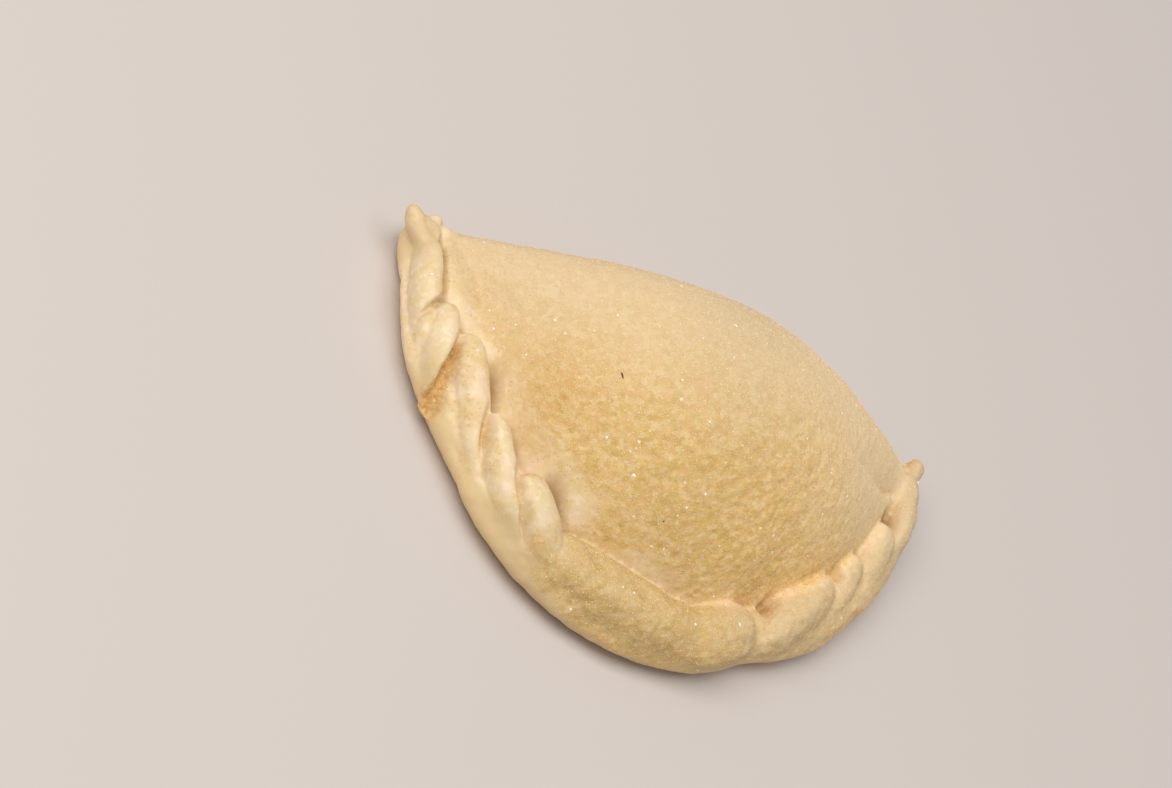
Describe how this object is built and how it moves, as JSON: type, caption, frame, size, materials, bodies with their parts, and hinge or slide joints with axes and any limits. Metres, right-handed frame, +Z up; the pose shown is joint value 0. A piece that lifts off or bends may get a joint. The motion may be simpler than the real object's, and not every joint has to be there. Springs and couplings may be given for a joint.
{
  "type": "empanada",
  "caption": "Half-moon empanada of pale baked dough with a domed filled body, a flat base and a roped, folded edge, lightly coated with sugar.",
  "frame": {"origin": "centre of the flat base, below the middle of the bounding box", "axes": "+X along the line of the two tips, from the slim tip with the nub to the other; the roped edge curves round the -Y side, the fold is at +Y; +Z up from the base"},
  "size_m": [0.1318, 0.0742, 0.0375],
  "materials": {
    "crust": "matte baked dough with sugar"
  },
  "bodies": {
    "root": {"empanada": "crust"}
  },
  "joints": []
}
